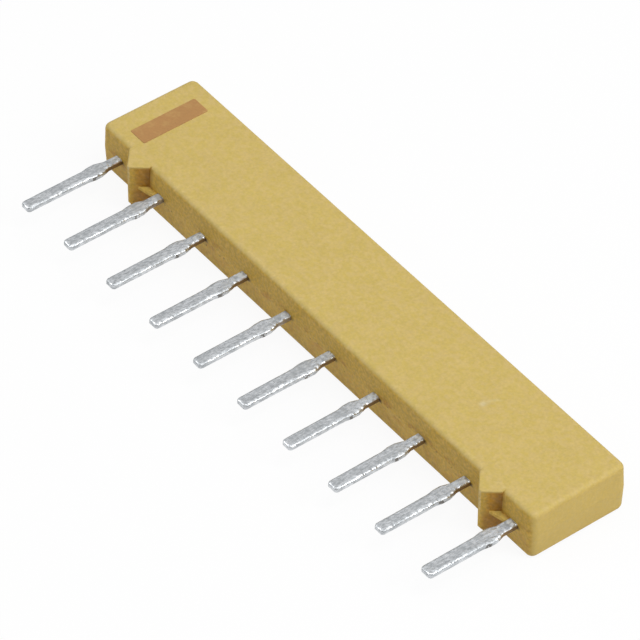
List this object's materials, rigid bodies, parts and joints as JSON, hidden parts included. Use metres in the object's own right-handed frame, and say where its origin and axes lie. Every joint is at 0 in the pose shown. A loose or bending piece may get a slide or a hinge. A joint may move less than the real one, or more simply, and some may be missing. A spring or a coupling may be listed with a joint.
{
  "type": "resistor network",
  "caption": "Moulded single-in-line thick-film resistor network: a slim epoxy bar with flat tinned pins along one edge, stand-off feet and a printed pin-1 bar.",
  "frame": {"origin": "on the body's broad back face, midway along the pin row", "axes": "+X along the pin row from pin 1 to the last pin; the pins point to -Y; +Z out of the marked broad face"},
  "size_m": [0.0249, 0.0084, 0.0022],
  "materials": {
    "body_epoxy": "matt mustard-yellow moulded epoxy",
    "index_ink": "flat brown ink",
    "lead": "solder-coated copper alloy, lumpy satin",
    "solder": "bright solder",
    "alumina": "fired white alumina",
    "conductor": "fired silver-palladium film",
    "resistor_film": "fired black resistor film",
    "overglaze": "thin dark green glass glaze"
  },
  "bodies": {
    "root": {"moulded_body": "body_epoxy", "index_bar": "index_ink", "ceramic_substrate": "alumina", "conductor_film": "conductor", "overglaze": "overglaze", "pin_1": "lead", "pin_2": "lead", "pin_3": "lead", "pin_4": "lead", "pin_5": "lead", "pin_6": "lead", "pin_7": "lead", "pin_8": "lead", "pin_9": "lead", "pin_10": "lead", "resistor_1": "resistor_film", "resistor_2": "resistor_film", "resistor_3": "resistor_film", "resistor_4": "resistor_film", "resistor_5": "resistor_film", "resistor_6": "resistor_film", "resistor_7": "resistor_film", "resistor_8": "resistor_film", "resistor_9": "resistor_film", "solder_1": "solder", "solder_2": "solder", "solder_3": "solder", "solder_4": "solder", "solder_5": "solder", "solder_6": "solder", "solder_7": "solder", "solder_8": "solder", "solder_9": "solder", "solder_10": "solder"}
  },
  "joints": []
}
